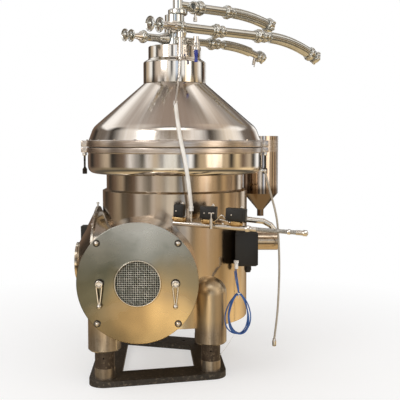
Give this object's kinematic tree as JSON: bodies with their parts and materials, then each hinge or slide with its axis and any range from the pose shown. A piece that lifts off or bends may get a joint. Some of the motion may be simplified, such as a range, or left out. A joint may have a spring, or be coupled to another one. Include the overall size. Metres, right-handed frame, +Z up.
{
  "type": "cream separator",
  "caption": "Disc-stack centrifuge on legs for splitting milk into cream and skim: round drive drum, clamped conical hood, outlet lines with hand valves, water valves, cyclone and motor.",
  "frame": {"origin": "on the bowl's vertical axis at floor level, at the centre of the circle of the two anchor bolts", "axes": "+Z up along the bowl axis, -Y out of the round front drum cover, +X to the right with the sludge spout"},
  "size_m": [1.4655, 1.646, 2.011],
  "materials": {
    "base_paint": "worn dark paint",
    "leg_steel": "dark brown worn",
    "worn_steel": "worn",
    "satin_steel": "satin",
    "polished_steel": "polished stainless",
    "machined_steel": "machined",
    "black_steel": "dark worn",
    "motor_paint": "grey paint",
    "brass": "dull",
    "mesh_wire": "woven wire",
    "black_plastic": "semi-gloss",
    "seal_rubber": "matt",
    "glass": "clear",
    "white_hose": "matt",
    "braided_hose": "braided cover",
    "cable_blue": "matt",
    "lever_blue": "dipped plastic sleeve"
  },
  "bodies": {
    "frame": {"base_frame": "base_paint", "leg_tubes": "leg_steel", "foot_collars": "worn_steel", "leg_sockets": "worn_steel", "bearing_carrier": "worn_steel", "machine_frame": "satin_steel", "drive_drum": "satin_steel", "drum_cover": "satin_steel", "side_cover": "satin_steel", "discharge_spout": "satin_steel", "sediment_collector": "polished_steel", "hood": "polished_steel", "collar": "polished_steel", "top_column": "polished_steel", "feed_line": "polished_steel", "skim_line": "polished_steel", "cream_line": "polished_steel", "union_nuts": "polished_steel", "end_nuts": "polished_steel", "valve_bodies": "polished_steel", "water_manifold": "polished_steel", "return_pipe": "polished_steel", "cyclone": "polished_steel", "cover_nuts": "polished_steel", "flange_bolts": "polished_steel", "bearings": "machined_steel", "buffer_springs": "machined_steel", "feed_tube": "machined_steel", "motor_housing": "motor_paint", "solenoid_valves": "brass", "wire_mesh": "mesh_wire", "side_box": "black_plastic", "solenoid_coils": "black_plastic", "junction_box": "black_plastic", "hood_seal": "seal_rubber", "sight_glass": "glass", "water_hose": "white_hose", "supply_hose": "braided_hose", "drain_hose": "braided_hose", "blue_cable": "cable_blue"},
    "bowl": {"worm_spindle": "machined_steel", "bowl_body": "machined_steel", "bowl_hood": "machined_steel", "disc_stack": "machined_steel", "sliding_bottom": "machined_steel"},
    "drive": {"drive_shaft": "machined_steel", "worm_wheel": "brass", "shaft_drums": "worn_steel"},
    "motor_rotor": {"motor_rotor": "machined_steel"},
    "brake_lever_left": {"brake_lever_left": "polished_steel"},
    "brake_lever_right": {"brake_lever_right": "polished_steel"},
    "brake_plug_left": {"brake_plug_left": "brass"},
    "brake_plug_right": {"brake_plug_right": "brass"},
    "skim_handwheel": {"skim_handwheel": "polished_steel"},
    "cream_handwheel": {"cream_handwheel": "polished_steel"},
    "ball_valve_lever": {"ball_valve_lever": "lever_blue"},
    "drain_tap_handle": {"drain_tap_handle": "polished_steel"},
    "needle_valve_handle": {"needle_valve_handle": "polished_steel"},
    "swing_clamp_left": {"swing_clamp_left": "black_steel"},
    "swing_clamp_right": {"swing_clamp_right": "black_steel"}
  },
  "joints": [
    {"name": "bowl_spin", "type": "hinge", "parent": "frame", "child": "bowl", "pos_m": [0, 0, 0.545], "axis": [0, 0, 1], "continuous": true},
    {"name": "drive_spin", "type": "hinge", "parent": "frame", "child": "drive", "pos_m": [-0.157, 0, 0.545], "axis": [0, 1, 0], "continuous": true},
    {"name": "motor_spin", "type": "hinge", "parent": "frame", "child": "motor_rotor", "pos_m": [-0.157, 0, 0.545], "axis": [0, 1, 0], "continuous": true},
    {"name": "brake_lever_right_turn", "type": "hinge", "parent": "frame", "child": "brake_lever_right", "pos_m": [0.025, -0.69, 0.545], "axis": [0, -1, 0], "range_deg": [0, 75]},
    {"name": "brake_lever_left_turn", "type": "hinge", "parent": "frame", "child": "brake_lever_left", "pos_m": [-0.339, -0.69, 0.545], "axis": [0, 1, 0], "range_deg": [0, 75]},
    {"name": "brake_plug_right_slide", "type": "slide", "parent": "frame", "child": "brake_plug_right", "axis": [-1, 0, 0], "range_m": [0, 0.003]},
    {"name": "brake_plug_left_slide", "type": "slide", "parent": "frame", "child": "brake_plug_left", "axis": [1, 0, 0], "range_m": [0, 0.003]},
    {"name": "skim_handwheel_turn", "type": "hinge", "parent": "frame", "child": "skim_handwheel", "pos_m": [0.003, -0.085, 1.843], "axis": [0.788, 0.6157, 0], "range_deg": [0, 720]},
    {"name": "cream_handwheel_turn", "type": "hinge", "parent": "frame", "child": "cream_handwheel", "pos_m": [0, 0, 1.782], "axis": [0.788, 0.6157, 0], "range_deg": [0, 720]},
    {"name": "ball_valve_lever_turn", "type": "hinge", "parent": "frame", "child": "ball_valve_lever", "pos_m": [0.12, -0.155, 1.732], "axis": [0, -1, 0], "range_deg": [0, 90]},
    {"name": "drain_tap_turn", "type": "hinge", "parent": "frame", "child": "drain_tap_handle", "pos_m": [0.46629, 0.3643, 1.70182], "axis": [0.7575, 0.5918, -0.2756], "range_deg": [0, 90]},
    {"name": "needle_valve_turn", "type": "hinge", "parent": "frame", "child": "needle_valve_handle", "pos_m": [0.196, -0.5535, 0.85], "axis": [0, 0, 1], "range_deg": [0, 720]},
    {"name": "swing_clamp_right_swing", "type": "hinge", "parent": "frame", "child": "swing_clamp_right", "pos_m": [0.508, 0, 1.15], "axis": [0, -1, 0], "range_deg": [0, 180]},
    {"name": "swing_clamp_left_swing", "type": "hinge", "parent": "frame", "child": "swing_clamp_left", "pos_m": [-0.508, 0, 1.15], "axis": [0, 1, 0], "range_deg": [0, 180]}
  ],
  "couplings": [
    {"joint": "drive_spin", "follows": "bowl_spin", "ratio": 0.21311},
    {"joint": "motor_spin", "follows": "bowl_spin", "ratio": 0.21311},
    {"joint": "brake_plug_right_slide", "follows": "brake_lever_right_turn", "m_per_rad": 0.0022},
    {"joint": "brake_plug_left_slide", "follows": "brake_lever_left_turn", "m_per_rad": 0.0022}
  ]
}
